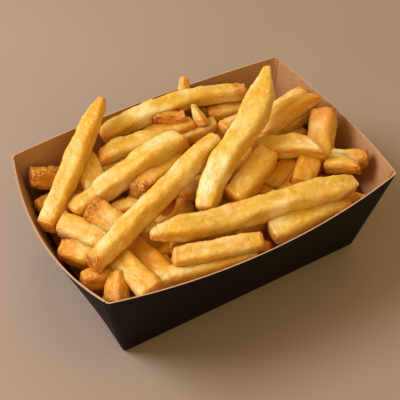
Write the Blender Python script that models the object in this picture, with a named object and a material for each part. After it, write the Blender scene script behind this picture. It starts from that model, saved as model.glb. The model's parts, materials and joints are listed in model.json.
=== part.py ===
"""French fries in a folded paperboard tray.

The tray is one sheet of thin board: a flat rectangular floor and four walls that lean outwards
and bow, the end walls of two layers that start a little way in from the corners. The fries are
a loose heap of thick-cut sticks, and they are one solid here: a low core with every stick that
shows fused on. Sizes are metres, +Z is up, and the origin is the middle of the tray's underside.
"""

import math

import bmesh
import bpy
import numpy as np

MM = 0.001

# Tray, folded from board, with its long sides along X
TRAY_HEIGHT = 53.4 * MM
FLOOR_HALF_LENGTH = 62.6 * MM
FLOOR_HALF_WIDTH = 38.2 * MM
RIM_HALF_LENGTH = 72.0 * MM
RIM_HALF_WIDTH = 49.0 * MM
LONG_WALL_BOW = 7.0 * MM
LONG_WALL_DIP = 3.3 * MM
END_WALL_BOW = 7.8 * MM
END_WALL_DIP = 6.0 * MM
BOARD = 0.6 * MM
CORNER_STRIP = 1.6 * MM
LAYER_STEP = 0.2 * MM
LONG_WALL_PANES = 12
END_WALL_PANES = 8
WALL_LEVELS = (0.0, 0.3, 0.65, 1.0)

# How far the heap keeps from the middle line of a wall's outer face
GAP = 0.4 * MM
LONG_WALL_ROOM = 1.4 * BOARD + GAP
END_WALL_ROOM = 3.0 * BOARD + GAP

# Core of the heap
CORE_BOTTOM = BOARD + 0.5 * MM
CORE_FLOOR_INSET = 3.0 * MM
CORE_EDGE_HEIGHT = 32.0 * MM
CORE_MIDDLE_HEIGHT = 37.0 * MM
CORE_STEPS_X = 14
CORE_STEPS_Y = 9

# Cut of the sticks: the share of each corner that is cut off, and how the ends narrow
CORNER_CUT = 0.20
END_ROUNDING = 1.6 * MM
END_NARROWING = 0.22
POINT_LENGTH = 12.5 * MM
POINT_NARROWING = 0.70
BODY_STATIONS = (0.35, 0.65)

# Lower sticks, laid on the core to close the gaps between the upper ones
LOWER_COUNT = 30
LOWER_SEED = 11
LOWER_CUT = (9.0, 8.0)
LOWER_REACH_X = 58.0
LOWER_REACH_Y = 36.0

# The sticks that show. Each row is a start and an end in millimetres, the width and the depth of
# the cut in millimetres, the roll about its length in degrees, how far its middle arches up and
# sways sideways in millimetres, and how pointed its start and its end are, from 0 to 1.
STICKS = (
    # Top of the heap
    ((51, 26, 71), (-11, -20, 47), 10.9, 10.1, -4, -0.5, -1.5, 0.75, 0.3),
    ((13, 9, 57), (-67, -23, 47), 9.3, 8.6, -16, 0, 0, 0.3, 0.1),
    ((-40, -24, 52), (57, -40, 48), 10.5, 9.7, -5, -1, 1, 0.75, 0.45),
    # Back row
    ((-25, 50, 67), (-75, 8, 44), 9.3, 8.6, -8, 0, -0.5, 0.6, 0.0),
    ((-29, 44, 48), (47, 36, 50), 8.7, 8.1, -6, 4, -4, 0.1, 0.15),
    ((21, 54, 58), (19, 46, 42), 7.8, 7.3, -68, 0, 0, 0.7, 0.1),
    ((-38, 30, 50), (-1, 27, 49), 9.1, 8.4, -3, 1.5, -1.5, 0.2, 0.2),
    ((-58, 16, 38), (4, 24, 49), 11.9, 11.0, 6, 1, -1, 0.1, 0.3),
    ((-40, 45, 43), (-42, 20, 36), 12.4, 11.5, 5, 0, 0, 0.3, 0.1),
    ((-4, 40, 53), (10, 33, 52), 6.4, 6.0, 6, 0, 0, 0.2, 0.2),
    ((17, 37, 55), (17, 27, 47), 8.7, 8.1, -54, 0, 0, 0.6, 0.1),
    ((23, 21, 47), (44, 21, 46), 8.2, 7.6, -3, 0, 0, 0.1, 0.2),
    ((24, 36, 45), (52, 30, 43), 8.7, 8.0, 2, 0, 0, 0.1, 0.2),
    ((-2, 31, 43), (25, 29, 44), 9.1, 8.5, -2, 0, 0, 0.2, 0.2),
    ((-68, 41, 45), (-52, 38, 37), 10.5, 9.7, 25, 0, 0, 0.2, 0.0),
    ((-72, 27, 38), (-59, 32, 33), 7.9, 7.3, -4, 0, 0, 0.2, 0.0),
    # Right end
    ((73, 12, 53), (40, 11, 43), 9.3, 8.6, -25, 2.5, 1.5, 0.3, 0.3),
    ((79, 24, 47), (48, 23, 40), 8.4, 7.8, -11, 0, 0, 0.2, 0.2),
    ((70, 4, 54), (55, -17, 38), 12.8, 11.9, -24, 0, 0.5, 0.3, 0.1),
    ((54, -14, 49), (29, 3, 45), 10.4, 9.6, 13, 1, 1.5, 0.0, 0.2),
    ((54, -9, 43), (39, -24, 40), 10.4, 9.6, 20, 0, 0, 0.1, 0.1),
    ((71, -31, 48), (59, -16, 43), 7.2, 6.7, 9, 0, 0, 0.1, 0.1),
    ((67, -31, 46), (57, -18, 41), 8.1, 7.5, 10, 0, 0, 0.2, 0.1),
    ((40, -39, 38), (59, -41, 37), 8.1, 7.5, 6, 0, 0, 0.1, 0.2),
    # Front row
    ((9, -44, 43), (51, -43, 40), 10.6, 9.8, -1, 0, 0, 0.1, 0.2),
    ((-36, -36, 46), (3, -47, 46), 9.2, 8.5, -12, -0.5, 0.5, 0.1, 0.2),
    ((-49, -45, 41), (-1, -53, 40), 9.4, 8.7, 1, 0, 0, 0.2, 0.2),
    # Left end
    ((-44, -13, 37), (-39, -41, 38), 11.1, 9.3, -14, 0, 0, 0.1, 0.1),
    ((-54, -19, 40), (-50, -47, 42), 12.4, 10.3, -13, 0, 0, 0.1, 0.1),
    ((-57, -27, 42), (-65, -40, 38), 9.7, 9.0, -37, 0, 0, 0.3, 0.1),
    ((-74, -23, 41), (-60, -25, 38), 10.5, 9.7, 16, 0, 0, 0.4, 0.1),
    ((-74, -2, 40), (-60, -15, 37), 9.7, 9.0, -5, 0, 0, 0.1, 0.1),
    ((-67, 10, 42), (-54, -11, 41), 10.9, 8.7, -8, 0, 0, 0.1, 0.1),
    ((-54, 7, 48), (-43, -10, 42), 11.6, 10.5, -17, 0, 0, 0.0, 0.2),
    # Between and below the others
    ((-32, 5, 46), (-2, 17, 46), 9.2, 8.5, 3, 0, 0, 0.2, 0.1),
    ((-44, 6, 40), (-27, 2, 41), 8.0, 7.4, 6, 0, 0, 0.1, 0.1),
    ((-13, -2, 41), (7, 1, 39), 9.2, 8.6, 4, 0, 0, 0.4, 0.1),
    ((4, -20, 46), (33, -4, 47), 11.7, 10.8, -6, 0, 0, 0.1, 0.1),
    ((25, -17, 38), (49, -5, 38), 9.3, 8.6, 0, 0, 0, 0.2, 0.1),
    ((18, -14, 37), (37, -20, 37), 8.7, 8.0, 0, 0, 0, 0.1, 0.1),
    ((-30, 43, 35), (26, 38, 36), 9.5, 8.5, 0, 0, 0, 0.2, 0.2),
    ((14, 30, 37), (66, 22, 36), 9.5, 8.5, 0, 0, 0, 0.2, 0.2),
    ((34, 2, 37), (62, 8, 38), 9.5, 8.5, 0, 0, 0, 0.2, 0.2),
    ((-10, 38, 45), (14, 31, 48), 9.5, 8.5, 0, 0, 0, 0.2, 0.2),
    ((34, 12, 38), (68, 13, 46), 9.5, 8.5, 0, 0, 0, 0.2, 0.2),
)


def rim_height(offset, dip):
    """Height of a wall's top edge, which dips by a parabola towards the wall's middle."""
    return TRAY_HEIGHT - dip * (1.0 - np.clip(offset, -1.0, 1.0) ** 2)


def between(low, high, share):
    return low + (high - low) * share


def long_wall_y(x, z):
    """Distance of a long wall's outer face: straight at the floor, bowed by a parabola above."""
    share = z / TRAY_HEIGHT
    for _ in range(3):
        offset = np.clip(x / between(FLOOR_HALF_LENGTH, RIM_HALF_LENGTH, share), -1.0, 1.0)
        share = np.clip(z / rim_height(offset, LONG_WALL_DIP), 0.0, 1.0)
    bow = LONG_WALL_BOW * share * (1.0 - offset**2)
    return between(FLOOR_HALF_WIDTH, RIM_HALF_WIDTH, share) + bow


def end_wall_x(y, z):
    """Distance of an end wall's outer face, by the same rule."""
    share = z / TRAY_HEIGHT
    for _ in range(3):
        offset = np.clip(y / between(FLOOR_HALF_WIDTH, RIM_HALF_WIDTH, share), -1.0, 1.0)
        share = np.clip(z / rim_height(offset, END_WALL_DIP), 0.0, 1.0)
    bow = END_WALL_BOW * share * (1.0 - offset**2)
    return between(FLOOR_HALF_LENGTH, RIM_HALF_LENGTH, share) + bow


def new_material(name, colour, roughness):
    material = bpy.data.materials.new(name)
    material.use_nodes = True
    shader = material.node_tree.nodes["Principled BSDF"]
    shader.inputs["Base Color"].default_value = (*colour, 1.0)
    shader.inputs["Roughness"].default_value = roughness
    shader.inputs["Metallic"].default_value = 0.0
    return material


def new_object(name, points, faces, *materials):
    mesh = bpy.data.meshes.new(name)
    mesh.from_pydata(np.asarray(points).tolist(), [], [np.asarray(f).tolist() for f in faces])
    for material in materials:
        mesh.materials.append(material)
    obj = bpy.data.objects.new(name, mesh)
    bpy.context.scene.collection.objects.link(obj)
    return obj


def face_outwards(obj):
    work = bmesh.new()
    work.from_mesh(obj.data)
    bmesh.ops.recalc_face_normals(work, faces=work.faces)
    work.to_mesh(obj.data)
    work.free()


def band(lower, upper):
    """The faces between two closed rings with the same number of vertices."""
    following = range(1, len(lower) + 1)
    return [
        (lower[i - 1], lower[i % len(lower)], upper[i % len(upper)], upper[i - 1])
        for i in following
    ]


def tray_offsets():
    """Shares along a long wall and an end wall, and whether the second layer is there."""
    long_wall = [(s, False) for s in np.linspace(-1.0, 1.0, LONG_WALL_PANES + 1)[:-1]]
    edge = 1.0 - CORNER_STRIP / RIM_HALF_WIDTH
    inner = edge - LAYER_STEP / RIM_HALF_WIDTH
    layered = [(s, True) for s in np.linspace(-inner, inner, END_WALL_PANES + 1)]
    end_wall = [(-1.0, False), (-edge, False), *layered, (edge, False)]
    return long_wall, end_wall


def tray_ring(share, inside):
    """One closed outline of the tray, at a share of the way from its floor to its rim.

    Each wall runs straight up from a straight fold at the floor to a rim that is bowed outwards
    and dips, both by parabolas. The second layer thickens the end walls on both faces.
    """
    long_wall, end_wall = tray_offsets()
    inset = BOARD if inside else 0.0
    layer = -BOARD / 2.0 if inside else BOARD / 2.0
    half_x = between(FLOOR_HALF_LENGTH, RIM_HALF_LENGTH, share) - inset
    half_y = between(FLOOR_HALF_WIDTH, RIM_HALF_WIDTH, share) - inset
    quarter = []
    for offset, _ in long_wall:
        bow = 1.0 - offset**2
        y = -half_y - LONG_WALL_BOW * share * bow
        quarter.append((offset * half_x, y, rim_height(offset, LONG_WALL_DIP) * share))
    for offset, layered in end_wall:
        bow = 1.0 - offset**2
        x = half_x + END_WALL_BOW * share * bow + layer * layered
        quarter.append((x, offset * half_y, rim_height(offset, END_WALL_DIP) * share))
    half = np.array(quarter)
    return np.concatenate([half, half * (-1.0, -1.0, 1.0)])


def tray_solid(outside, inside):
    """The folded tray as one solid: outer face, rim, inner face and floor."""
    floor_share = BOARD / TRAY_HEIGHT
    rings = [tray_ring(share, False) for share in WALL_LEVELS]
    rings += [tray_ring(max(share, floor_share), True) for share in reversed(WALL_LEVELS)]
    index = np.arange(len(rings) * len(rings[0])).reshape(len(rings), -1)
    faces = [index[0][::-1], index[-1]]
    for lower, upper in zip(index[:-1], index[1:]):
        faces += band(lower, upper)
    tray = new_object("tray", np.concatenate(rings), faces, outside, inside)
    outer_faces = 2 + (len(WALL_LEVELS) - 1) * len(rings[0])
    for polygon in tray.data.polygons:
        polygon.material_index = int(polygon.index == 1 or polygon.index >= outer_faces)
    return tray


def stick_rings(start, end, width, depth, roll, arch, sway, point_start, point_end):
    """Rings of points along one stick.

    The centre line is a straight run plus a parabola of the given arch and sway. The section is
    a rectangle with cut corners, which narrows along a pointed end and over the last millimetres
    of every end.
    """
    start, end = np.array(start) * MM, np.array(end) * MM
    length = np.linalg.norm(end - start)
    along = (end - start) / length
    level = np.cross(along, (0.0, 0.0, 1.0))
    level /= np.linalg.norm(level)
    over = np.cross(level, along)
    turn = math.radians(roll)
    side = level * math.cos(turn) + over * math.sin(turn)
    up = over * math.cos(turn) - level * math.sin(turn)
    rounding = END_ROUNDING / length
    t = np.array([0.0, rounding, *BODY_STATIONS, 1.0 - rounding, 1.0])
    bow = MM * (1.0 - (2.0 * t - 1.0) ** 2)
    centre = start + np.outer(t * length, along) + np.outer(bow, arch * up + sway * side)
    scale = np.ones_like(t)
    for distance, point in ((t * length, point_start), ((1.0 - t) * length, point_end)):
        taper = np.clip(1.0 - distance / (POINT_LENGTH * (0.4 + point)), 0.0, 1.0) ** 1.5
        rounded = np.clip(1.0 - distance / END_ROUNDING, 0.0, 1.0)
        scale *= (1.0 - POINT_NARROWING * point * taper) * (1.0 - END_NARROWING * rounded)
    flat = 1.0 - 2.0 * CORNER_CUT
    corner = [(1.0, -flat), (1.0, flat), (flat, 1.0), (-flat, 1.0)]
    outline = np.array(corner + [(-a, -b) for a, b in corner])
    across = np.outer(scale * width * MM / 2.0, outline[:, 0])[..., None] * side
    above = np.outer(scale * depth * MM / 2.0, outline[:, 1])[..., None] * up
    return kept_inside(centre[:, None, :] + across + above)


def kept_inside(points):
    """The same points, moved as one piece until what is below the rim clears the walls."""
    moved = points.copy()
    for _ in range(4):
        x, y, z = moved[..., 0], moved[..., 1], moved[..., 2]
        over_y = np.abs(y) - long_wall_y(x, z) + LONG_WALL_ROOM
        over_y[z > rim_height(x / RIM_HALF_LENGTH, LONG_WALL_DIP)] = 0.0
        over_x = np.abs(x) - end_wall_x(y, z) + END_WALL_ROOM
        over_x[z > rim_height(y / RIM_HALF_WIDTH, END_WALL_DIP)] = 0.0
        shift_x = max(over_x.max(), 0.0) * np.sign(x.ravel()[over_x.argmax()])
        shift_y = max(over_y.max(), 0.0) * np.sign(y.ravel()[over_y.argmax()])
        moved -= (shift_x, shift_y, 0.0)
    return moved


def stick_solid(name, row):
    """One stick as a closed mesh of few faces."""
    rings = stick_rings(*row)
    index = np.arange(rings[..., 0].size).reshape(rings.shape[:2])
    faces = [index[0], index[-1]]
    for lower, upper in zip(index[:-1], index[1:]):
        faces += band(lower, upper)
    obj = new_object(name, rings.reshape(-1, 3), faces)
    face_outwards(obj)
    return obj


def core_height(x, y):
    """The core's top: a low dome, lower towards the walls."""
    outwards = np.clip((x / RIM_HALF_LENGTH) ** 4 + (y / RIM_HALF_WIDTH) ** 4, 0.0, 1.0)
    return between(CORE_MIDDLE_HEIGHT, CORE_EDGE_HEIGHT, outwards)


def core_solid():
    """The body of the heap, from just above the tray's floor, following its walls."""
    u, v = np.meshgrid(
        np.linspace(-1.0, 1.0, CORE_STEPS_X), np.linspace(-1.0, 1.0, CORE_STEPS_Y), indexing="ij"
    )
    x = u * (FLOOR_HALF_LENGTH - CORE_FLOOR_INSET)
    y = v * (FLOOR_HALF_WIDTH - CORE_FLOOR_INSET)
    low = np.stack([x, y, np.full_like(x, CORE_BOTTOM)], axis=-1)
    for _ in range(4):
        z = core_height(x, y)
        x = u * (end_wall_x(y, z) - END_WALL_ROOM - GAP)
        y = v * (long_wall_y(x, z) - LONG_WALL_ROOM - GAP)
    high = np.stack([x, y, z], axis=-1)
    bottom = np.arange(u.size).reshape(u.shape)
    top = bottom + u.size
    faces = []
    for grid in (bottom, top):
        corners = grid[:-1, :-1], grid[1:, :-1], grid[1:, 1:], grid[:-1, 1:]
        faces += list(zip(*(corner.ravel() for corner in corners)))
    edges = [
        np.concatenate([grid[:-1, 0], grid[-1, :-1], grid[:0:-1, -1], grid[0, :0:-1]])
        for grid in (bottom, top)
    ]
    faces += band(*edges)
    points = np.concatenate([low.reshape(-1, 3), high.reshape(-1, 3)])
    obj = new_object("heap_core", points, faces)
    face_outwards(obj)
    return obj


def lower_sticks():
    """Sticks laid evenly over the core, each turned by a seeded draw."""
    draw = np.random.default_rng(LOWER_SEED)
    rows = []
    for i in range(LOWER_COUNT):
        x = LOWER_REACH_X * (2.0 * ((i * 0.618034) % 1.0) - 1.0)
        y = LOWER_REACH_Y * (2.0 * ((i * 0.754878) % 1.0) - 1.0)
        heading = draw.uniform(0.0, math.pi)
        half = draw.uniform(14.0, 24.0)
        z = core_height(x * MM, y * MM) / MM + draw.uniform(-2.0, 1.5)
        step = half * np.array([math.cos(heading), math.sin(heading), draw.uniform(-0.12, 0.12)])
        middle = np.array([x, y, z])
        roll = draw.uniform(-25.0, 25.0)
        rows.append((middle - step, middle + step, *LOWER_CUT, roll, 0, 0, 0.2, 0.2))
    return rows


def shells_of(work):
    """The connected shells of a bmesh, smallest first."""
    left = set(work.faces)
    shells = []
    while left:
        shell = [left.pop()]
        for face in shell:
            near = {other for edge in face.edges for other in edge.link_faces} & left
            left -= near
            shell.extend(sorted(near, key=lambda other: other.index))
        shells.append(shell)
    return sorted(shells, key=len)


def fused(base, pieces, name, material):
    """One closed solid from the core and the sticks. Sealed hollows and loose scraps go."""
    helpers = bpy.data.collections.new("heap_pieces")
    bpy.context.scene.collection.children.link(helpers)
    for piece in pieces:
        bpy.context.scene.collection.objects.unlink(piece)
        helpers.objects.link(piece)
    union = base.modifiers.new("Union", "BOOLEAN")
    union.operation = "UNION"
    union.operand_type = "COLLECTION"
    union.collection = helpers
    union.solver = "MANIFOLD"
    graph = bpy.context.evaluated_depsgraph_get()
    mesh = bpy.data.meshes.new_from_object(base.evaluated_get(graph))
    for helper in (*pieces, base):
        bpy.data.objects.remove(helper)
    bpy.data.collections.remove(helpers)
    work = bmesh.new()
    work.from_mesh(mesh)
    for shell in shells_of(work)[:-1]:
        bmesh.ops.delete(work, geom=shell, context="FACES")
    loose = [vertex for vertex in work.verts if not vertex.link_faces]
    bmesh.ops.delete(work, geom=loose, context="VERTS")
    work.to_mesh(mesh)
    work.free()
    mesh.materials.clear()
    mesh.materials.append(material)
    obj = bpy.data.objects.new(name, mesh)
    bpy.context.scene.collection.objects.link(obj)
    return obj


for leftover in list(bpy.data.objects):
    bpy.data.objects.remove(leftover)
board_outside = new_material("board_outside", (0.016, 0.013, 0.012), 0.55)
board_inside = new_material("board_inside", (0.40, 0.24, 0.13), 0.8)
fried_potato = new_material("fried_potato", (0.78, 0.47, 0.12), 0.45)
tray_solid(board_outside, board_inside)
rows = [*STICKS, *lower_sticks()]
sticks = [stick_solid(f"stick_{number}", row) for number, row in enumerate(rows)]
fused(core_solid(), sticks, "fries", fried_potato)
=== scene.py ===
"""French fries in a folded paperboard tray: the looks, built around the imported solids.

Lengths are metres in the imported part's frame: +X along the tray's long sides, +Z up, and the
origin at the middle of the tray's underside. Rows of fries are in millimetres.
"""

import json
import math
from dataclasses import dataclass

import bpy
import numpy as np
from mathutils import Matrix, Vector

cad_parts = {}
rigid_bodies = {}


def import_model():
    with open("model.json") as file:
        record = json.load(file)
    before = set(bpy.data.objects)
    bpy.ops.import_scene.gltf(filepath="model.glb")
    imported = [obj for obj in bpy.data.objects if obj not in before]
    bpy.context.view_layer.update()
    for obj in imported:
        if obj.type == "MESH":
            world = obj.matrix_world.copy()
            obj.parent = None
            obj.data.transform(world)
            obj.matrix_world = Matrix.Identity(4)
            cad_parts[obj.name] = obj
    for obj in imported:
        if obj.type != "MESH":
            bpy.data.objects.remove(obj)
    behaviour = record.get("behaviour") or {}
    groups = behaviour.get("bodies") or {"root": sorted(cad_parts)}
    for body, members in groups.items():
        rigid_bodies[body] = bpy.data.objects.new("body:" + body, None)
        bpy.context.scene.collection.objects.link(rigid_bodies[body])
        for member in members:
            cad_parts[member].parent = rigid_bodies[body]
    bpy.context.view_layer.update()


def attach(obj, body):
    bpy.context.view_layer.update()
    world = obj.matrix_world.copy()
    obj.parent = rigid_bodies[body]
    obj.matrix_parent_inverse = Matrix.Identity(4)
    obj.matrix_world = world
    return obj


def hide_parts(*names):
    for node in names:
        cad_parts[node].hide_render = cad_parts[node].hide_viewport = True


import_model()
scene = bpy.context.scene


# Camera: it stands in front of the tray's near left corner, 30 degrees round from the long side,
# and looks down at 46 degrees through a longish lens.
CAMERA_PLACE = Vector((-0.15528, -0.26238, 0.35046))
CAMERA_PAN = 0.5309
CAMERA_TILT = 0.8100
CAMERA_LENS = 84.9
CAMERA_SENSOR = 36.0

looking = Vector((
    math.sin(CAMERA_PAN) * math.cos(CAMERA_TILT),
    math.cos(CAMERA_PAN) * math.cos(CAMERA_TILT),
    -math.sin(CAMERA_TILT),
))
lens = bpy.data.cameras.new("camera")
lens.lens = CAMERA_LENS
lens.sensor_width = CAMERA_SENSOR
camera = bpy.data.objects.new("camera", lens)
camera.location = CAMERA_PLACE
camera.rotation_euler = looking.to_track_quat("-Z", "Y").to_euler()
scene.collection.objects.link(camera)
scene.camera = camera


# Light: a broad softbox at the back left, a weak warm one in front for the shaded sides, and an
# even warm surround. The picture is shown with a little more contrast than plain.
HEAP_MIDDLE = Vector((0.0, 0.0, 0.03))
SURROUND_COLOUR = (1.0, 0.75, 0.42, 1.0)
SURROUND_STRENGTH = 0.43


def softbox(name, place, size, power, colour):
    """A square area light at a place, turned to shine at the middle of the heap."""
    lamp = bpy.data.lights.new(name, "AREA")
    lamp.size = size
    lamp.energy = power
    lamp.color = colour
    light = bpy.data.objects.new(name, lamp)
    light.location = place
    light.rotation_euler = (HEAP_MIDDLE - Vector(place)).to_track_quat("-Z", "Y").to_euler()
    scene.collection.objects.link(light)


softbox("key_light", place=(-0.62, 0.40, 0.70), size=0.55, power=5.6, colour=(1.0, 0.985, 1.05))
softbox("fill_light", place=(-0.25, -0.85, 0.75), size=0.9, power=1.9, colour=(1.0, 0.74, 0.38))
surround = bpy.data.worlds.new("surround")
surround.use_nodes = True
backdrop = surround.node_tree.nodes["Background"]
backdrop.inputs["Color"].default_value = SURROUND_COLOUR
backdrop.inputs["Strength"].default_value = SURROUND_STRENGTH
scene.world = surround
scene.view_settings.view_transform = "Standard"
scene.view_settings.look = "High Contrast"


# Floor: a plain pale matt sheet, far wider than the tray, which only catches the shadow. It lies a
# hair under the board, so that the two faces never share a plane.
MM = 0.001
FLOOR_HALF = 1.6
FLOOR_DROP = 0.2 * MM
FLOOR_SHADES = (172, 160, 153), (180, 168, 162)
FLOOR_CLOUDS = 9.0


class Number:
    """A number that varies over a surface. Arithmetic on it adds Math nodes to its finish."""

    def __init__(self, finish, socket):
        self.finish = finish
        self.socket = socket

    def maths(self, operation, first, second):
        return self.finish.node("ShaderNodeMath", {"operation": operation}, {0: first, 1: second})

    def __add__(self, other):
        return self.maths("ADD", self, other)

    __radd__ = __add__

    def __sub__(self, other):
        return self.maths("SUBTRACT", self, other)

    def __rsub__(self, other):
        return self.maths("SUBTRACT", other, self)

    def __mul__(self, other):
        return self.maths("MULTIPLY", self, other)

    __rmul__ = __mul__

    def between(self, low, high):
        """0 where this is at low or under, 1 at high or over, and a smooth rise between."""
        settings = {"interpolation_type": "SMOOTHSTEP"}
        inputs = {"Value": self, "From Min": low, "From Max": high}
        return self.finish.node("ShaderNodeMapRange", settings, inputs)


class Finish:
    """One Principled material. It starts with plain values by socket, and gets nodes for the rest."""

    def __init__(self, name, plain):
        self.material = bpy.data.materials.new(name)
        self.material.use_nodes = True
        self.tree = self.material.node_tree
        self.shader = self.tree.nodes["Principled BSDF"]
        for socket, value in plain.items():
            self.give(socket, value)

    def feed(self, socket, value):
        """Links a varying value to a socket, or sets a constant on it."""
        if isinstance(value, Number):
            self.tree.links.new(value.socket, socket)
        elif isinstance(value, tuple) and len(value) == 3 and len(socket.default_value) == 4:
            socket.default_value = (*value, 1.0)
        else:
            socket.default_value = value

    def give(self, socket, value):
        """Feeds one of the shader's own sockets."""
        self.feed(self.shader.inputs[socket], value)

    def node(self, kind, settings=None, inputs=None, output=0):
        """Adds a node with its settings and inputs, and gives one of its outputs."""
        node = self.tree.nodes.new(kind)
        for name, value in (settings or {}).items():
            setattr(node, name, value)
        for name, value in (inputs or {}).items():
            self.feed(node.inputs[name], value)
        return Number(self, node.outputs[output])

    def attribute(self, name, output="Fac"):
        return self.node("ShaderNodeAttribute", {"attribute_name": name}, output=output)

    def place(self):
        return self.node("ShaderNodeTexCoord", output="Object")

    def stretched(self, vector, scale):
        """A vector with each part multiplied by its own scale."""
        settings = {"operation": "MULTIPLY"}
        return self.node("ShaderNodeVectorMath", settings, {0: vector, 1: scale})

    def noise(self, vector, scale, detail=2.0, roughness=0.5, distortion=0.0):
        inputs = {"Vector": vector, "Scale": scale, "Detail": detail}
        inputs |= {"Roughness": roughness, "Distortion": distortion}
        return self.node("ShaderNodeTexNoise", None, inputs)

    def mixed(self, share, first, second):
        """A colour between two colours, by a share from 0 to 1."""
        settings = {"data_type": "RGBA", "clamp_factor": True}
        return self.node("ShaderNodeMix", settings, {0: share, 6: first, 7: second}, output=2)

    def bump(self, height, strength, distance):
        inputs = {"Height": height, "Strength": strength, "Distance": distance}
        self.give("Normal", self.node("ShaderNodeBump", None, inputs))


def from_screen(red, green, blue):
    """A colour as a screen shows it, 0 to 255, turned into the linear values that nodes take."""
    share = np.array((red, green, blue)) / 255.0
    return tuple(np.where(share < 0.04045, share / 12.92, ((share + 0.055) / 1.055) ** 2.4).tolist())


floor_mesh = bpy.data.meshes.new("floor")
corners = [(-1, -1), (1, -1), (1, 1), (-1, 1)]
flat = [(FLOOR_HALF * x, FLOOR_HALF * y, -FLOOR_DROP) for x, y in corners]
floor_mesh.from_pydata(flat, [], [(0, 1, 2, 3)])
floor = bpy.data.objects.new("floor", floor_mesh)
scene.collection.objects.link(floor)
sheet = Finish("floor_finish", {"Roughness": 0.75})
cloudy = sheet.noise(sheet.place(), FLOOR_CLOUDS)
darker, paler = [from_screen(*shade) for shade in FLOOR_SHADES]
sheet.give("Base Color", sheet.mixed(cloudy, darker, paler))
floor_mesh.materials.append(sheet.material)


# Tray: one sheet of thin board, printed matt black outside and left brown inside. Creases turn its
# four walls up, they bow outwards, and the end walls have a second layer glued over the corner flaps.
TRAY_HEIGHT = 53.4 * MM
FLOOR_HALF_LENGTH = 62.6 * MM
FLOOR_HALF_WIDTH = 38.2 * MM
RIM_HALF_LENGTH = 72.0 * MM
RIM_HALF_WIDTH = 49.0 * MM
LONG_WALL_BOW = 7.0 * MM
LONG_WALL_DIP = 3.3 * MM
END_WALL_BOW = 7.8 * MM
END_WALL_DIP = 6.0 * MM
BOARD = 0.6 * MM
LAYER = 0.15 * MM
CORNER_STRIP = 1.6 * MM
CORNER_ROUND = 0.7 * MM
GROOVE_WIDTH = 0.45 * MM
GROOVE_DEPTH = 0.28 * MM
GROOVE_LIP = 0.03 * MM
SLIT_DEPTH = 0.9 * MM
CREASE_RADIUS = 1.2 * MM
LONG_WALL_PANES = 40
END_WALL_PANES = 28
WALL_RINGS = 19
SHARPEST_FOLD = math.radians(38.0)

INK_SHADES = (0.0125, 0.0108, 0.0100), (0.0210, 0.0180, 0.0165)
CUT_SHADES = (0.46, 0.33, 0.24), (0.66, 0.52, 0.40)
KRAFT_SHADES = (0.47, 0.30, 0.175), (0.54, 0.355, 0.22)
OIL_STAIN = (0.33, 0.19, 0.09)


def rim_height(offset, dip):
    """A wall's height: it dips by a parabola towards the wall's middle."""
    return TRAY_HEIGHT - dip * (1.0 - np.clip(offset, -1.0, 1.0) ** 2)


def between(low, high, share):
    """The value at a share of the way from low to high."""
    return low + (high - low) * share


def wall_offsets(half_length, layered, panes):
    """Places along one wall from -1 to 1, and how far its face steps out there, in layers.

    A plain wall has no step. A layered one has a bare strip at each corner, then a groove, then
    the second layer.
    """
    near = 1.0 - CORNER_ROUND / half_length
    if not layered:
        places = np.linspace(-near, near, panes + 1)
        return places, np.zeros_like(places)
    strip = 1.0 - CORNER_STRIP / half_length
    groove = strip - GROOVE_WIDTH / half_length
    lip = GROOVE_LIP / half_length
    middle = np.linspace(-groove + lip, groove - lip, panes + 1)
    ends = np.array([near, strip, strip - lip, groove])
    steps = np.array([0.0, 0.0, -1.0, -1.0])
    places = np.concatenate([-ends, middle, ends[::-1]])
    return places, np.concatenate([steps, np.ones_like(middle), steps[::-1]])


def tray_outline(share, inset, side, lowered=0.0):
    """One closed ring of the tray at a share of the wall's height, from four walls.

    Each wall goes from a straight crease at the floor to a rim bowed outwards by a parabola. Side
    is 1 for the outer face, -1 for the inner one and 0 for the slit between the layers.
    """
    long_places, _ = wall_offsets(RIM_HALF_LENGTH, False, LONG_WALL_PANES)
    end_places, steps = wall_offsets(RIM_HALF_WIDTH, True, END_WALL_PANES)
    step = np.where(steps < 0.0, -GROOVE_DEPTH, LAYER * steps) * side
    half_x = between(FLOOR_HALF_LENGTH, RIM_HALF_LENGTH, share) - inset
    half_y = between(FLOOR_HALF_WIDTH, RIM_HALF_WIDTH, share) - inset
    front_y = -half_y - LONG_WALL_BOW * share * (1.0 - long_places**2)
    front_z = rim_height(long_places, LONG_WALL_DIP) * share
    end_x = half_x + END_WALL_BOW * share * (1.0 - end_places**2) + step
    end_z = rim_height(end_places, END_WALL_DIP) * share - lowered * (steps > 0.0)
    front = np.stack([long_places * half_x, front_y, front_z], axis=-1)
    end = np.stack([end_x, end_places * half_y, end_z], axis=-1)
    half = np.concatenate([front, end])
    return np.concatenate([half, half * (-1.0, -1.0, 1.0)])


def crease_inset(share):
    """How far a face turns in near the floor: a quarter circle of the crease's radius."""
    rise = np.clip(1.0 - share * TRAY_HEIGHT / CREASE_RADIUS, 0.0, 1.0)
    return CREASE_RADIUS * (1.0 - math.sqrt(1.0 - rise**2))


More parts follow.
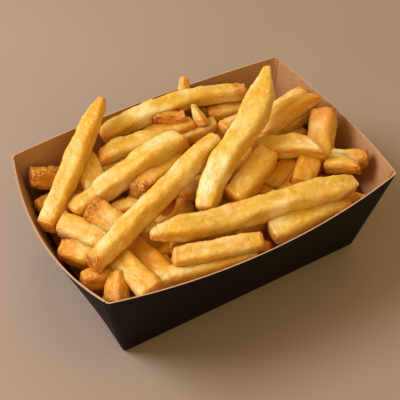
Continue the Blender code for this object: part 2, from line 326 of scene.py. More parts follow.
def mesh_of(name, points, faces, numbers=None, vectors=None):
    """A smooth-shaded mesh object from whole arrays: points, lists of equal faces, attributes."""
    mesh = bpy.data.meshes.new(name)
    sizes = np.concatenate([np.full(len(group), group.shape[1]) for group in faces])
    starts = np.concatenate([[0], np.cumsum(sizes)[:-1]])
    corners = np.concatenate([group.ravel() for group in faces])
    mesh.vertices.add(len(points))
    mesh.vertices.foreach_set("co", np.asarray(points, np.float32).ravel())
    mesh.loops.add(int(sizes.sum()))
    mesh.loops.foreach_set("vertex_index", corners.astype(np.int32))
    mesh.polygons.add(len(sizes))
    mesh.polygons.foreach_set("loop_start", starts.astype(np.int32))
    mesh.polygons.foreach_set("use_smooth", np.ones(len(sizes), bool))
    mesh.update(calc_edges=True)
    for key, values in (numbers or {}).items():
        layer = mesh.attributes.new(key, "FLOAT", "POINT")
        layer.data.foreach_set("value", np.asarray(values, np.float32))
    for key, values in (vectors or {}).items():
        layer = mesh.attributes.new(key, "FLOAT_VECTOR", "POINT")
        layer.data.foreach_set("vector", np.asarray(values, np.float32).ravel())
    obj = bpy.data.objects.new(name, mesh)
    scene.collection.objects.link(obj)
    return obj


def around(index):
    """The four-sided faces between neighbouring rows of a grid whose rows are closed rings."""
    following = np.roll(index, -1, axis=1)
    corners = index[:-1], following[:-1], following[1:], index[1:]
    return np.stack([corner.ravel() for corner in corners], axis=-1)


def closed_form(name, rings):
    """A solid form from closed rings: the faces between them, and one flat face at either end."""
    index = np.arange(rings[..., 0].size).reshape(rings.shape[:2])
    return mesh_of(name, rings.reshape(-1, 3), [around(index), index[:1, ::-1], index[-1:]])


crease_levels = np.array([0.0, 0.12, 0.3, 0.6, 1.0]) * CREASE_RADIUS / TRAY_HEIGHT
levels = np.concatenate([crease_levels, np.linspace(crease_levels[-1], 1.0, WALL_RINGS)[1:]])
floor_share = BOARD / TRAY_HEIGHT
outer = [tray_outline(share, crease_inset(share), 1) for share in levels]
slit_lips_and_foot = (0.45, 0.0), (0.50, SLIT_DEPTH), (0.55, 0.0)
slit = [tray_outline(1.0, place * BOARD, 0, depth) for place, depth in slit_lips_and_foot]
inner = [tray_outline(max(share, floor_share), BOARD + crease_inset(share), -1) for share in levels[::-1]]
rings = np.array([*outer, *slit, *inner])
tray = closed_form("tray_board", rings)

PRINT_SLOT, CUT_SLOT, KRAFT_SLOT = 0, 1, 2
ring_of_face = np.repeat(np.arange(len(rings) - 1), rings.shape[1])
beyond_print = ring_of_face >= len(outer) - 1
beyond_cut = ring_of_face >= len(outer) + len(slit)
slots = np.where(beyond_cut, KRAFT_SLOT, np.where(beyond_print, CUT_SLOT, PRINT_SLOT))
slots = np.concatenate([slots, [PRINT_SLOT, KRAFT_SLOT]])
tray.data.polygons.foreach_set("material_index", slots.astype(np.int32))
tray.data.set_sharp_from_angle(angle=SHARPEST_FOLD)

printed = Finish("black_print", {"Specular IOR Level": 0.30})
fibres = printed.noise(printed.stretched(printed.place(), (1.0, 1.0, 2.5)), 420.0, 3.0)
cloud = printed.noise(printed.place(), 24.0, 2.0)
printed.give("Base Color", printed.mixed(cloud, *INK_SHADES))
printed.give("Roughness", 0.48 + 0.14 * fibres)
printed.bump(fibres, 0.10, 0.1 * MM)

raw = Finish("cut_edge", {"Roughness": 0.85})
ply = raw.noise(raw.stretched(raw.place(), (1.0, 1.0, 6.0)), 500.0, 2.0)
raw.give("Base Color", raw.mixed(ply, *CUT_SHADES))

kraft = Finish("kraft_face", {})
spot = kraft.place()
pulp = kraft.noise(kraft.stretched(spot, (1.0, 1.0, 3.0)), 260.0, 4.0, 0.65)
patch = kraft.noise(spot, 30.0, 2.0)
brown = kraft.mixed(pulp.between(0.25, 0.75), *KRAFT_SHADES)
oily = patch.between(0.60, 0.72)
kraft.give("Base Color", kraft.mixed(0.35 * oily, brown, OIL_STAIN))
kraft.give("Roughness", 0.82 - 0.25 * oily)
kraft.bump(pulp, 0.15, 0.15 * MM)

for finish in (printed, raw, kraft):
    tray.data.materials.append(finish.material)
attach(tray, "root")
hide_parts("tray")


# Long fries on top: thick sticks cut from potato, fried twice, which lie loose across the heap.
# The crust is pale gold and soft in the middle of each face, and darker where it is thin, on the
# ends and the sharp edges.
@dataclass
class Fry:
    """One stick, in millimetres and degrees.

    Arch and sway bow it upwards and sideways, and wave bends it in an S, sideways and upwards.
    Point, lean, slant and brown are for its start and its end: how pointed it is, which way its
    tip leans across and up, how its cut slants, and how brown it is. Tone is how deeply the whole
    stick is fried, edge how brown its long edges are, and girth scales its section at even places
    from start to end. On sticks that lie low in the heap's shade, a high tone and brown are also
    painted shade.
    """

    start: tuple
    end: tuple
    width: float
    depth: float
    roll: float = 0.0
    arch: float = 0.0
    sway: float = 0.0
    wave: tuple = (0, 0)
    point: tuple = (0.2, 0.2)
    lean: tuple = ((0, 0), (0, 0))
    slant: tuple = (0, 0)
    brown: tuple = (0.3, 0.3)
    tone: float = 0.35
    edge: float = 0.25
    girth: tuple = (1.0, 1.0)


POINT_LENGTH = 12.5 * MM
POINT_NARROWING = 0.84
TAPER_POWER = 1.15
END_ROUND = 1.4 * MM
END_ROUND_POWER = 2.3
SLANT_REACH = 6.5 * MM
CUT_TILT = 0.30
BROWN_REACH = 2.5
BROWN_REACH_GAIN = 11.0

TWIST = 7.0
TWIST_REACH = 30.0 * MM
DRIFT_SIDEWAYS = 0.7 * MM
DRIFT_UPWARDS = 0.5 * MM
DRIFT_REACH = 26.0 * MM
UNEVENNESS = 0.10
UNEVENNESS_REACH = 13.0 * MM
CORNER_POWER = 4.2
CORNER_POWER_CHANGE = 1.2
CORNER_POWER_REACH = 17.0 * MM
HOLLOW_FACES = (0.01, 0.05)
NOISE_ROW_GAP = 3.7
NOISE_SHIFT = 50.0

SWELL_SIZE = 7.0 * MM
MOTTLE_SIZE = 3.2 * MM
SPECK_SIZE = 1.1 * MM
SWELL_HEIGHT = 0.95
MOTTLE_HEIGHT = 0.50
SPECK_HEIGHT = 0.30
PIT_DEPTH = 0.8
LUMP_HEIGHT = 1.1

WALL_ROOM = 0.35 * MM
FRY_RING_SPACING = 0.44 * MM
FRY_SIDES = 72
FEWEST_RINGS = 14
END_CROWDING = 0.125
SEED_STEP = 37

PALE_CRUST = (0.80, 0.64, 0.23)
GOLD_CRUST = (0.78, 0.53, 0.09)
DEEP_FRIED_AND_SHADE = (0.74, 0.39, 0.03)
FLOURY_AND_SHEEN = (0.89, 0.77, 0.48)
OILY_PORE = (0.74, 0.42, 0.08)
DRY_STREAK_AND_GLINT = (0.93, 0.80, 0.50)
AMBER_CRUST = (0.80, 0.44, 0.11)
BROWN_CRUST = (0.42, 0.175, 0.045)

CELL_PRIMES = (73856093, 19349663, 83492791)
SEED_PRIME = 668265263
SCRAMBLE = (2246822519, 3266489917)
LOW_32_BITS = 0xFFFFFFFF
LOW_24_BITS = 0xFFFFFF


def lattice_noise(points, seed):
    """Smooth noise from 0 to 1: random numbers on a lattice of unit cells, blended between."""
    cell = np.floor(points).astype(np.int64)
    part = points - cell
    part = part**3 * (part * (part * 6.0 - 15.0) + 10.0)
    total = np.zeros(points.shape[:-1])
    for corner in np.ndindex(2, 2, 2):
        key = (cell + corner) * CELL_PRIMES
        mixed = (key[..., 0] ^ key[..., 1] ^ key[..., 2]) + seed * SEED_PRIME
        mixed = ((mixed ^ (mixed >> 15)) * SCRAMBLE[0]) & LOW_32_BITS
        mixed = ((mixed ^ (mixed >> 13)) * SCRAMBLE[1]) & LOW_32_BITS
        weight = np.where(corner, part, 1.0 - part).prod(axis=-1)
        total += weight * ((mixed ^ (mixed >> 16)) & LOW_24_BITS) / LOW_24_BITS
    return total


def long_wall_y(x, z):
    """Distance of a long wall's outer face from the middle plane."""
    share = z / TRAY_HEIGHT
    for _ in range(3):
        offset = np.clip(x / between(FLOOR_HALF_LENGTH, RIM_HALF_LENGTH, share), -1.0, 1.0)
        share = np.clip(z / rim_height(offset, LONG_WALL_DIP), 0.0, 1.0)
    return between(FLOOR_HALF_WIDTH, RIM_HALF_WIDTH, share) + LONG_WALL_BOW * share * (1.0 - offset**2)


def end_wall_x(y, z):
    """Distance of an end wall's outer face, by the same rule."""
    share = z / TRAY_HEIGHT
    for _ in range(3):
        offset = np.clip(y / between(FLOOR_HALF_WIDTH, RIM_HALF_WIDTH, share), -1.0, 1.0)
        share = np.clip(z / rim_height(offset, END_WALL_DIP), 0.0, 1.0)
    return between(FLOOR_HALF_LENGTH, RIM_HALF_LENGTH, share) + END_WALL_BOW * share * (1.0 - offset**2)


def kept_inside(points):
    """The same points, moved as one until what is below the rim clears the walls."""
    moved = points.copy()
    for _ in range(4):
        x, y, z = moved[..., 0], moved[..., 1], moved[..., 2]
        over_y = np.abs(y) - long_wall_y(x, z) + BOARD + WALL_ROOM
        over_y[z > rim_height(x / RIM_HALF_LENGTH, LONG_WALL_DIP)] = 0.0
        over_x = np.abs(x) - end_wall_x(y, z) + BOARD + LAYER + WALL_ROOM
        over_x[z > rim_height(y / RIM_HALF_WIDTH, END_WALL_DIP)] = 0.0
        shift_x = max(over_x.max(), 0.0) * np.sign(x.ravel()[over_x.argmax()])
        shift_y = max(over_y.max(), 0.0) * np.sign(y.ravel()[over_y.argmax()])
        moved -= (shift_x, shift_y, 0.0)
    return moved


def stick_axes(fry):
    """A stick's start and length, then its directions: along it, level across it and up from it."""
    start, end = np.array(fry.start) * MM, np.array(fry.end) * MM
    length = np.linalg.norm(end - start)
    along = (end - start) / length
    level = np.cross(along, (0.0, 0.0, 1.0))
    level /= np.linalg.norm(level)
    return start, length, along, level, np.cross(level, along)


def fried_crust(grain, seed, crisp, angle, edge):
    """How far the crust stands out, in millimetres, and how crisp it is, at each point.

    The relief is a swell, plus two sizes of grain, plus pits and lumps where the crust is crisp.
    The long edges crisp in patches.
    """
    corner = (0.5 - 0.5 * np.cos(4.0 * angle)) ** 5
    mottle = lattice_noise(grain / MOTTLE_SIZE, seed + 11)
    speck = lattice_noise(grain / SPECK_SIZE, seed + 12)
    pit = 1.0 - 2.0 * np.abs(speck - 0.5)
    crisp = crisp[:, None] * (0.5 + mottle) + edge * corner * (mottle - 0.15)
    swell = SWELL_HEIGHT * (lattice_noise(grain / SWELL_SIZE, seed + 13) - 0.5)
    rough = MOTTLE_HEIGHT * (mottle - 0.5) + SPECK_HEIGHT * (speck - 0.5)
    blister = np.clip(crisp, 0.0, 1.0) * (PIT_DEPTH * (0.5 - pit) + LUMP_HEIGHT * (mottle - 0.5))
    return swell + rough + blister, np.clip(crisp * (0.35 + pit), 0.0, 1.0)


def fry_surface(fry, seed, spacing, sides):
    """Rings of points along one stick, how crisp each is, and its place in the stick itself.

    The section is a rounded rectangle, 1 / (|cos|^n + |sin|^n)^(1/n) in polar form, with hollow
    faces. It is carried along a straight line plus a parabola and an S bend, narrows to a pointed
    end and closes with a round over a tilted cut. Slow noise twists, bends and swells it.
    """
    start, length, along, level, over = stick_axes(fry)
    even = np.linspace(0.0, 1.0, max(int(length / spacing), FEWEST_RINGS))
    t = even - END_CROWDING * np.sin(2.0 * math.pi * even)
    draw = np.random.default_rng(seed)
    offset = draw.uniform(0.0, 1.0, 3)

    def slow(number, reach):
        """Noise from -1 to 1 along the stick, from one row of the lattice for each number."""
        row = np.full_like(t, NOISE_ROW_GAP * number)
        places = np.stack([t * length / reach, row, np.zeros_like(t)], axis=-1)
        return 2.0 * lattice_noise(places + NOISE_SHIFT * offset, seed + number) - 1.0

    turn = np.radians(fry.roll + TWIST * slow(1, TWIST_REACH))[:, None]
    side = level * np.cos(turn) + over * np.sin(turn)
    up = over * np.cos(turn) - level * np.sin(turn)
    bow = MM * (1.0 - (2.0 * t - 1.0) ** 2)
    calm = np.sin(math.pi * t)
    bend = MM * np.sin(2.0 * math.pi * t)
    sideways = bow * fry.sway + bend * fry.wave[0] + DRIFT_SIDEWAYS * slow(2, DRIFT_REACH) * calm
    upwards = bow * fry.arch + bend * fry.wave[1] + DRIFT_UPWARDS * slow(3, DRIFT_REACH) * calm
    girth = np.interp(t, np.linspace(0.0, 1.0, len(fry.girth)), fry.girth)
    half_width = fry.width * MM / 2.0 * girth * (1.0 + UNEVENNESS * slow(4, UNEVENNESS_REACH))
    half_depth = fry.depth * MM / 2.0 * girth * (1.0 + UNEVENNESS * slow(5, UNEVENNESS_REACH))
    scale = np.ones_like(t)
    slant, tilt, crisp = np.zeros_like(t), np.zeros_like(t), np.zeros_like(t)
    for distance, which, sign in ((t * length, 0, -1.0), ((1.0 - t) * length, 1, 1.0)):
        reach = POINT_LENGTH * (0.4 + fry.point[which])
        taper = np.clip(1.0 - distance / reach, 0.0, 1.0) ** TAPER_POWER
        narrowing = POINT_NARROWING * fry.point[which] * taper
        rounding = np.clip(1.0 - distance / (END_ROUND * draw.uniform(0.8, 1.6)), 0.0, 1.0)
        rounded = np.clip(1.0 - rounding**END_ROUND_POWER, 0.002, 1.0) ** (1.0 / END_ROUND_POWER)
        sideways = sideways + fry.lean[which][0] * narrowing * half_width
        upwards = upwards + fry.lean[which][1] * narrowing * half_depth
        scale = scale * (1.0 - narrowing) * rounded
        near = np.exp(-distance / SLANT_REACH)
        slant = slant + (sign * fry.slant[which] + CUT_TILT * draw.uniform(-1.0, 1.0)) * near
        tilt = tilt + CUT_TILT * draw.uniform(-1.0, 1.0) * near
        brown_reach = (BROWN_REACH + BROWN_REACH_GAIN * fry.brown[which]) * MM
        crisp = crisp + fry.brown[which] * np.clip(1.0 - distance / brown_reach, 0.0, 1.0) ** 1.2

    angle = np.linspace(0.0, 2.0 * math.pi, sides, endpoint=False) + math.pi / sides
    power = CORNER_POWER + CORNER_POWER_CHANGE * slow(6, CORNER_POWER_REACH)[:, None]
    radius = (np.abs(np.cos(angle)) ** power + np.abs(np.sin(angle)) ** power) ** (-1.0 / power)
    radius = radius * (1.0 - draw.uniform(*HOLLOW_FACES) * (0.5 + 0.5 * np.cos(4.0 * angle)) ** 2)
    across = (scale * half_width)[:, None] * radius * np.cos(angle)
    above = (scale * half_depth)[:, None] * radius * np.sin(angle)
    lengthwise = np.broadcast_to((t * length)[:, None], across.shape)
    grain = np.stack([lengthwise, across, above], axis=-1) + offset

    relief, crisp = fried_crust(grain, seed, crisp, angle, fry.edge)
    raised = relief * MM * np.clip(scale * 3.0, 0.0, 1.0)[:, None]
    across = across + raised * np.cos(angle)
    above = above + raised * np.sin(angle)
    centre = start + np.outer(t * length, along) + sideways[:, None] * side + upwards[:, None] * up
    points = centre[:, None, :] + across[..., None] * side[:, None, :] + above[..., None] * up[:, None, :]
    points = points + (slant[:, None] * across + tilt[:, None] * above)[..., None] * along
    return kept_inside(points), crisp, grain


crust = Finish("fried_crust", {
    "Subsurface Weight": 0.5,
    "Subsurface Scale": 0.004,
    "Subsurface Radius": (1.0, 0.58, 0.22),
    "Specular IOR Level": 0.7,
})
grain = crust.attribute("grain", "Vector")
crisp = crust.attribute("crisp")
tone = crust.attribute("tone")
broad = crust.noise(crust.stretched(grain, (0.45, 1.0, 1.0)), 150.0, 3.0, 0.55, 0.3)
cloud = crust.noise(crust.stretched(grain, (0.6, 1.0, 1.0)), 95.0, 2.0, 0.5)
streak = crust.noise(crust.stretched(grain, (0.6, 1.0, 1.0)), 520.0, 3.0, 0.6)
pores = crust.noise(grain, 1500.0, 2.0, 0.6)
colour = crust.mixed(broad.between(0.30, 0.70), PALE_CRUST, GOLD_CRUST)
# Tone darkens the whole stick: partly its frying, and on sticks low in the heap also painted shade.
colour = crust.mixed(tone, colour, DEEP_FRIED_AND_SHADE)
# Pale patches, stronger on pale sticks: partly floury bloom and partly painted sheen of light.
bloom_and_sheen = (cloud + 0.25 * (streak - 0.5)).between(0.46, 0.66) * (0.95 - 0.85 * tone)
colour = crust.mixed(bloom_and_sheen, colour, FLOURY_AND_SHEEN)
soaked = (pores + 0.5 * (broad - 0.5)).between(0.54, 0.72)
colour = crust.mixed(0.6 * soaked, colour, OILY_PORE)
# Pale streaks along the grain: partly dry crust and partly painted glints.
dry_and_glint = (streak - 0.5 * (pores - 0.5)).between(0.56, 0.70)
colour = crust.mixed(0.35 * dry_and_glint, colour, DRY_STREAK_AND_GLINT)
ambered = (crisp * 1.5 + 0.3 * (streak - 0.5)).between(0.08, 0.60)
colour = crust.mixed(ambered, colour, AMBER_CRUST)
browned = (crisp + 0.45 * (pores - 0.5)).between(0.50, 1.10)
colour = crust.mixed(0.8 * browned, colour, BROWN_CRUST)
crust.give("Base Color", colour)
crust.give("Roughness", 0.30 + 0.18 * streak + 0.12 * crisp)
relief = 0.60 * streak + 0.45 * pores + 0.9 * crisp * pores
crust.bump(relief, 1.0, 0.55 * MM)


def heaped(piece, finish):
    """Gives a piece of the heap its finish and its place in the part."""
    piece.data.materials.append(finish.material)
    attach(piece, "root")
    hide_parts("fries")


def fry_piece(name, fries, seed, spacing=FRY_RING_SPACING, sides=FRY_SIDES):
    """Many sticks as one mesh, each closed by a fan of triangles at both ends."""
    points, quads, fans, crisp, tone, grain = [], [], [], [], [], []
    total = 0
    for number, fry in enumerate(fries):
        rings, brown, place = fry_surface(fry, seed + SEED_STEP * number, spacing, sides)
        count = rings[..., 0].size
        index = total + np.arange(count).reshape(rings.shape[:2])
        quads.append(around(index))
        for ring, pole, turned in ((index[0], total + count, 1), (index[-1], total + count + 1, -1)):
            edge = np.stack([np.full(sides, pole), np.roll(ring, -1), ring], axis=-1)
            fans.append(edge[:, ::turned])
        for values, whole in ((points, rings), (grain, place)):
            values += [whole.reshape(-1, 3), whole[[0, -1]].mean(axis=1)]
        crisp += [brown.ravel(), brown[[0, -1]].mean(axis=1)]
        tone.append(np.full(count + 2, fry.tone))
        total += count + 2
    numbers = {"crisp": np.concatenate(crisp), "tone": np.concatenate(tone)}
    vectors = {"grain": np.concatenate(grain)}
    faces = [np.concatenate(quads), np.concatenate(fans)]
    heaped(mesh_of(name, np.concatenate(points), faces, numbers, vectors), crust)


fry_piece("top_fries", (
    Fry((51, 26, 71), (-11, -20, 47), 10.9, 10.1, roll=-4, arch=-0.5, sway=-1.5, wave=(-2.2, -0.9),
        point=(0.75, 0.3), brown=(0.12, 0.15), tone=0.0, edge=0.1,
        girth=(0.77, 1.17, 1.09, 0.98, 0.91)),
    Fry((13, 9, 57), (-67, -23, 47), 9.3, 8.6, roll=-16, point=(0.3, 0.1), brown=(0.2, 0.6), tone=0.2,
        girth=(0.95, 0.99, 1.05, 1, 0.94)),
    Fry((-40, -24, 52), (57, -40, 48), 10.5, 9.7, roll=-5, arch=-1, sway=1, point=(0.75, 0.45),
        brown=(0.4, 0.3), tone=0.15, girth=(0.98, 0.97, 1, 1.08, 0.96)),
), seed=100)


# Fries along the back wall: sticks of the same potato that lie on the ones below, some leaning on
# the board. The tall one at the left stands over the rim.
fry_piece("back_fries", (
    Fry((-24, 52, 65), (-74, 10, 42), 9.4, 8.7, roll=-8, sway=-0.5, point=(0.7, 0.0),
        lean=((-0.4, 0), (0, 0)), brown=(0.45, 0.4), tone=0.4, girth=(0.96, 0.96, 1.05, 1.02, 0.94)),
    Fry((-29, 44, 48), (47, 36, 50), 8.7, 8.1, roll=-6, arch=4, sway=-4, point=(0.1, 0.15),
        brown=(0.35, 0.65), tone=0.05, girth=(0.97, 1.13, 0.99, 0.93, 0.91)),
    Fry((21, 54, 58), (19, 46, 42), 7.8, 7.3, roll=-68, point=(0.7, 0.1), brown=(0.35, 0.2), tone=0.2),
    Fry((-38, 30, 50), (-1, 27, 49), 9.1, 8.4, roll=-3, arch=1.5, sway=-1.5, point=(0.2, 0.2),
        brown=(0.5, 0.2), tone=0.0, girth=(1.03, 1.02, 1, 0.98, 0.97)),
    Fry((-60, 11, 43), (2, 21, 52), 11.7, 10.9, roll=6, arch=1, sway=-1, point=(0.1, 0.3),
        brown=(0.3, 0.3), tone=0.15, girth=(0.89, 0.89, 0.95, 1.08, 1)),
    Fry((-42, 39, 49), (-45, 14, 43), 12.2, 11.3, roll=5, point=(0.3, 0.1), brown=(0.4, 0.2),
        tone=0.45),
    Fry((-4, 40, 53), (10, 33, 52), 6.4, 6.0, roll=6, point=(0.2, 0.2), brown=(1.0, 0.6), tone=0.3,
        edge=0.8),
    Fry((17, 37, 55), (17, 27, 47), 8.7, 8.1, roll=-54, point=(0.9, 0.0), lean=((0.3, 0), (0, 0)),
        brown=(0.2, 0.5), tone=0.35),
    Fry((23, 21, 47), (44, 21, 46), 8.2, 7.6, roll=-3, point=(0.1, 0.2), brown=(0.35, 0.3), tone=0.2),
    Fry((24, 36, 45), (52, 30, 43), 8.7, 8.0, roll=2, point=(0.1, 0.2), brown=(0.7, 0.3), tone=0.35),
    Fry((-2, 31, 43), (25, 29, 44), 9.1, 8.5, roll=-2, point=(0.2, 0.2), brown=(0.3, 0.3), tone=0.6),
    # A short stub low in shade: its full tone and brown are partly its frying and partly painted shade.
    Fry((-68, 41, 45), (-52, 38, 37), 10.5, 9.7, roll=25, point=(0.2, 0.0), brown=(1.0, 1.0), tone=1.0,
        edge=0.9),
    Fry((-72, 27, 38), (-59, 32, 33), 7.9, 7.3, roll=-4, point=(0.2, 0.0), brown=(0.5, 0.4), tone=0.55),
), seed=200)


# Fries at the right end: steeper sticks that lean on the end wall, and short ones laid across them.
# The two in the corner are the crispest, brown and rough at their ends.
fry_piece("right_end_fries", (
    Fry((73, 12, 53), (40, 11, 43), 9.3, 8.6, roll=-25, arch=2.5, sway=1.5, point=(0.3, 0.3),
        brown=(0.6, 0.3), tone=0.6, girth=(0.93, 0.95, 1.02, 1.06, 1.06)),
    Fry((79, 24, 47), (48, 23, 40), 8.4, 7.8, roll=-11, point=(0.2, 0.2), brown=(0.5, 0.3), tone=0.2),
    Fry((70, 4, 54), (55, -17, 38), 12.8, 11.9, roll=-24, sway=0.5, point=(0.3, 0.1), brown=(0.8, 0.3),
        tone=0.55),
    Fry((54, -14, 49), (29, 3, 45), 10.4, 9.6, roll=13, arch=1, sway=1.5, point=(0.0, 0.2),
        slant=(-0.7, 0), brown=(0.15, 0.3), tone=0.28),
    Fry((54, -9, 43), (39, -24, 40), 10.4, 9.6, roll=20, point=(0.1, 0.1), brown=(0.3, 0.2), tone=0.9),
    Fry((71, -31, 48), (59, -16, 43), 7.2, 6.7, roll=9, point=(0.1, 0.1), brown=(0.9, 0.4), tone=0.4,
        edge=0.6),
    Fry((67, -31, 46), (57, -18, 41), 8.1, 7.5, roll=10, point=(0.2, 0.1), brown=(0.7, 0.2), tone=0.35),
    Fry((40, -39, 38), (59, -41, 37), 8.1, 7.5, roll=6, point=(0.1, 0.2), brown=(0.6, 0.6), tone=0.8),
), seed=300)


# Fries along the front wall: three sticks of the same potato. They lie along the board, low behind
# its rim, on the ones below.
fry_piece("front_fries", (
    Fry((9, -44, 43), (51, -43, 40), 10.6, 9.8, roll=-1, point=(0.1, 0.2), brown=(0.2, 0.5), tone=0.05),
    Fry((-36, -36, 46), (3, -47, 46), 9.2, 8.5, roll=-12, arch=-0.5, sway=0.5, point=(0.1, 0.2),
        brown=(0.3, 0.2), tone=0.25, girth=(1.02, 1.03, 1.05, 0.97, 0.93)),
    Fry((-49, -45, 41), (-1, -53, 40), 9.4, 8.7, roll=1, point=(0.2, 0.2), brown=(0.3, 0.3), tone=0.2),
), seed=400)


# Fries at the left end: short sticks of the same potato. Several are given a darker tone, which
# is painted shade for the low ones in the others' shadow. They lie side by side between the wall
# and the heap, most with their cut ends towards the board.
fry_piece("left_end_fries", (
    # This stick lies low in the others' shadow: its full tone is painted shade.
    Fry((-44, -13, 37), (-39, -41, 38), 11.1, 9.3, roll=-14, point=(0.1, 0.1), brown=(0.5, 0.5),
        tone=1.0),
    Fry((-54, -19, 40), (-50, -47, 42), 12.4, 10.3, roll=-13, point=(0.1, 0.1), brown=(0.3, 0.2),
        tone=0.5),
    Fry((-57, -27, 42), (-65, -40, 38), 9.7, 9.0, roll=-37, point=(0.3, 0.1), brown=(0.4, 0.6),
        tone=0.9),
    Fry((-74, -23, 41), (-60, -25, 38), 10.5, 9.7, roll=16, point=(0.4, 0.1), brown=(0.6, 0.5),
        tone=1.0),
    Fry((-74, -2, 40), (-60, -15, 37), 9.7, 9.0, roll=-5, point=(0.1, 0.1), brown=(0.7, 0.3), tone=0.5,
        edge=0.4),
    Fry((-67, 10, 42), (-54, -11, 41), 10.9, 8.7, roll=-8, point=(0.1, 0.1), brown=(0.3, 0.2),
        tone=0.35),
    Fry((-54, 7, 48), (-43, -10, 42), 11.6, 10.5, roll=-17, point=(0.0, 0.2), brown=(0.9, 0.2),
        tone=0.3),
), seed=500)


# Fries between and below those: less light reaches them, and several are given a darker tone.
# They carry the upper ones, and the last five in this section hardly show.
fry_piece("inner_fries", (
    Fry((-32, 5, 46), (-2, 17, 46), 9.2, 8.5, roll=3, point=(0.2, 0.1), brown=(1.0, 0.4), tone=0.45,
        edge=0.6),
    Fry((-44, 6, 40), (-27, 2, 41), 8.0, 7.4, roll=6, point=(0.1, 0.1), brown=(0.4, 0.3), tone=0.5),
    Fry((-13, -2, 41), (7, 1, 39), 9.2, 8.6, roll=4, point=(0.4, 0.1), brown=(0.4, 0.3), tone=0.5),
    Fry((4, -20, 46), (33, -4, 47), 11.7, 10.8, roll=-6, point=(0.1, 0.1), brown=(0.2, 0.2), tone=0.5),
    Fry((25, -17, 38), (49, -5, 38), 9.3, 8.6, point=(0.2, 0.1), brown=(0.6, 0.5), tone=0.8, edge=0.6),
    Fry((18, -14, 37), (37, -20, 37), 8.7, 8.0, point=(0.1, 0.1), brown=(0.7, 0.6), tone=0.9, edge=0.7),
    Fry((-30, 43, 35), (26, 38, 36), 9.5, 8.5, tone=0.5),
    Fry((14, 30, 37), (66, 22, 36), 9.5, 8.5, tone=0.5),
    Fry((34, 2, 37), (62, 8, 38), 9.5, 8.5, tone=0.5),
    Fry((-10, 38, 45), (14, 31, 48), 9.5, 8.5, tone=0.6),
    Fry((34, 12, 38), (68, 13, 46), 9.5, 8.5, tone=0.6),
), seed=600)


# Body of the heap: the fries that nobody sees, as one mass coloured dark brown as painted shade, so
# that the gaps show dark. A layer of loose sticks, darker in tone partly as painted shade, is laid
# over it and closes the gaps between the upper ones.
CORE_BOTTOM = BOARD + 0.5 * MM
CORE_INSET = 3.0 * MM
CORE_EDGE_HEIGHT = 30.0 * MM
CORE_MIDDLE_HEIGHT = 36.5 * MM
CORE_ROOM = 2.2 * MM
CORE_SIDES = 96
CORE_CORNER_POWER = 0.22
CORE_FLOOR_REACHES = (0.02, 0.5, 1.0)
CORE_TOP_REACHES = (1.0, 0.9, 0.75, 0.6, 0.45, 0.3, 0.15, 0.02)
CORE_PAINTED_SHADE_COLOURS = (0.42, 0.13, 0.015), (0.62, 0.25, 0.03)
LOWER_COUNT = 56
LOWER_SEED = 11
LOWER_WIDTH = 9.0
LOWER_DEPTH = 8.0
LOWER_SPREAD_X = 58.0
LOWER_SPREAD_Y = 36.0
LOWER_STEP_X = 0.618034
LOWER_STEP_Y = 0.754878
LOWER_HALF_LENGTH = (14.0, 24.0)
LOWER_SINK = (-1.0, 2.5)
LOWER_SLOPE = (-0.12, 0.12)
LOWER_ROLL = (-25.0, 25.0)
LOWER_BROWN = (0.2, 0.7)
# The lower sticks' dark tones are partly their frying and partly painted shade for the gaps they fill.
LOWER_TONE_AND_SHADE = (0.7, 1.0)


def core_height(x, y):
    """The body's top: a low dome, lower towards the walls."""
    outwards = np.clip((x / RIM_HALF_LENGTH) ** 4 + (y / RIM_HALF_WIDTH) ** 4, 0.0, 1.0)
    return between(CORE_MIDDLE_HEIGHT, CORE_EDGE_HEIGHT, outwards)


def core_rings():
    """Closed rings from the middle of the underside, out, up the walls and in over the top.

    Each ring is a rounded rectangle. The walls' own rule gives its reach at every height.
    """
    turn = np.linspace(0.0, 2.0 * math.pi, CORE_SIDES, endpoint=False)
    round_x = np.abs(np.cos(turn)) ** CORE_CORNER_POWER * np.sign(np.cos(turn))
    round_y = np.abs(np.sin(turn)) ** CORE_CORNER_POWER * np.sign(np.sin(turn))
    rings = []
    for reach in CORE_FLOOR_REACHES:
        x = round_x * (FLOOR_HALF_LENGTH - CORE_INSET) * reach
        y = round_y * (FLOOR_HALF_WIDTH - CORE_INSET) * reach
        rings.append(np.stack([x, y, np.full_like(x, CORE_BOTTOM)], axis=-1))
    for reach in CORE_TOP_REACHES:
        x, y = round_x * FLOOR_HALF_LENGTH, round_y * FLOOR_HALF_WIDTH
        for _ in range(4):
            z = core_height(x * reach, y * reach)
            x = round_x * (end_wall_x(y, z) - CORE_ROOM)
            y = round_y * (long_wall_y(x, z) - CORE_ROOM)
        rings.append(np.stack([x * reach, y * reach, core_height(x * reach, y * reach)], axis=-1))
    return np.array(rings)


inside = Finish("painted_shade_crust", {"Roughness": 0.6})
lumps = inside.noise(inside.place(), 160.0, 4.0, 0.6)
# The body's colour is painted shade: dark brown for the depths between the fries.
inside.give("Base Color", inside.mixed(lumps, *CORE_PAINTED_SHADE_COLOURS))
inside.bump(lumps, 0.8, 1.5 * MM)
heaped(closed_form("heap_body", core_rings()), inside)


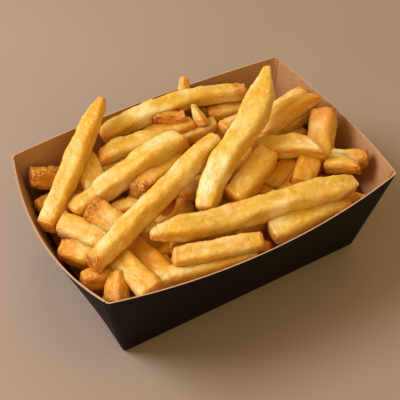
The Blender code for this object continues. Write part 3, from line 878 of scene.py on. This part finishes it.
def lower_fries():
    """Sticks spread evenly over the body by two irrational steps, each turned by a seeded draw."""
    draw = np.random.default_rng(LOWER_SEED)
    fries = []
    for i in range(LOWER_COUNT):
        x = LOWER_SPREAD_X * (2.0 * ((i * LOWER_STEP_X) % 1.0) - 1.0)
        y = LOWER_SPREAD_Y * (2.0 * ((i * LOWER_STEP_Y) % 1.0) - 1.0)
        heading = draw.uniform(0.0, math.pi)
        half = draw.uniform(*LOWER_HALF_LENGTH)
        z = core_height(x * MM, y * MM) / MM - draw.uniform(*LOWER_SINK)
        step = half * np.array([math.cos(heading), math.sin(heading), draw.uniform(*LOWER_SLOPE)])
        middle = np.array([x, y, z])
        roll = draw.uniform(*LOWER_ROLL)
        brown = tuple(draw.uniform(*LOWER_BROWN, 2))
        tone = draw.uniform(*LOWER_TONE_AND_SHADE)
        ends = middle - step, middle + step
        fries.append(Fry(*ends, LOWER_WIDTH, LOWER_DEPTH, roll=roll, brown=brown, tone=tone))
    return fries


fry_piece("lower_fries", lower_fries(), seed=700, spacing=1.3 * MM, sides=32)


# Crumbs: bits of crust about a millimetre across, which broke off in the fryer and lie loose on
# the fries, held by a film of oil.
CRUMB_COUNT = 110
CRUMB_SEED = 5
CRUMB_RINGS = 7
CRUMB_SIDES = 10
CRUMB_HALF = (0.25, 0.75)
CRUMB_RISE = 0.4
CRUMB_CRISP = (0.2, 0.9)
CRUMB_TONE = 0.3
UPWARD_ENOUGH = 0.3


def crumb(draw, centre, half):
    """A lump: a ball of closed rings, whose reach is half its size times 0.6 plus 0.9 of a noise."""
    rise = np.linspace(0.08, 0.92, CRUMB_RINGS) * math.pi
    turn = np.linspace(0.0, 2.0 * math.pi, CRUMB_SIDES, endpoint=False)
    flat = np.sin(rise)[:, None]
    tall = np.broadcast_to(np.cos(rise)[:, None], (CRUMB_RINGS, CRUMB_SIDES))
    ball = np.stack([flat * np.cos(turn), flat * np.sin(turn), tall], axis=-1)
    reach = 0.6 + 0.9 * lattice_noise(1.6 * ball + draw.uniform(0.0, 40.0, 3), CRUMB_SEED)
    return centre + half * reach[..., None] * ball * draw.uniform(0.6, 1.2, 3)


def upward_points():
    """Every point of the fries that faces up and lies above the body's edge, with its normal."""
    points, normals = [], []
    for lying in [obj for obj in scene.objects if obj.name.endswith("_fries")]:
        for values, source, key in (
            (points, lying.data.vertices, "co"),
            (normals, lying.data.vertex_normals, "vector"),
        ):
            whole = np.empty(3 * len(source), np.float32)
            source.foreach_get(key, whole)
            values.append(whole.reshape(-1, 3))
    points, normals = np.concatenate(points), np.concatenate(normals)
    upward = (normals[:, 2] > UPWARD_ENOUGH) & (points[:, 2] > CORE_EDGE_HEIGHT)
    return points[upward], normals[upward]


def crumb_piece():
    """Crumbs on the fries' upward faces, at points picked by seeded draws."""
    points, normals = upward_points()
    draw = np.random.default_rng(CRUMB_SEED)
    lumps = []
    for spot in draw.choice(len(points), CRUMB_COUNT):
        half = draw.uniform(*CRUMB_HALF) * MM
        lumps.append(crumb(draw, points[spot] + CRUMB_RISE * half * normals[spot], half))
    rings = np.array(lumps)
    count = CRUMB_RINGS * CRUMB_SIDES
    grid = np.arange(count).reshape(CRUMB_RINGS, CRUMB_SIDES)
    step = count * np.arange(CRUMB_COUNT)[:, None, None]
    sides = (around(grid) + step).reshape(-1, 4)
    caps = (np.stack([grid[0, ::-1], grid[-1]])[None] + step).reshape(-1, CRUMB_SIDES)
    points = rings.reshape(-1, 3)
    crisp = draw.uniform(*CRUMB_CRISP, len(points))
    numbers = {"crisp": crisp, "tone": np.full(len(points), CRUMB_TONE)}
    heaped(mesh_of("crumbs", points, [sides, caps], numbers, {"grain": points}), crust)


crumb_piece()
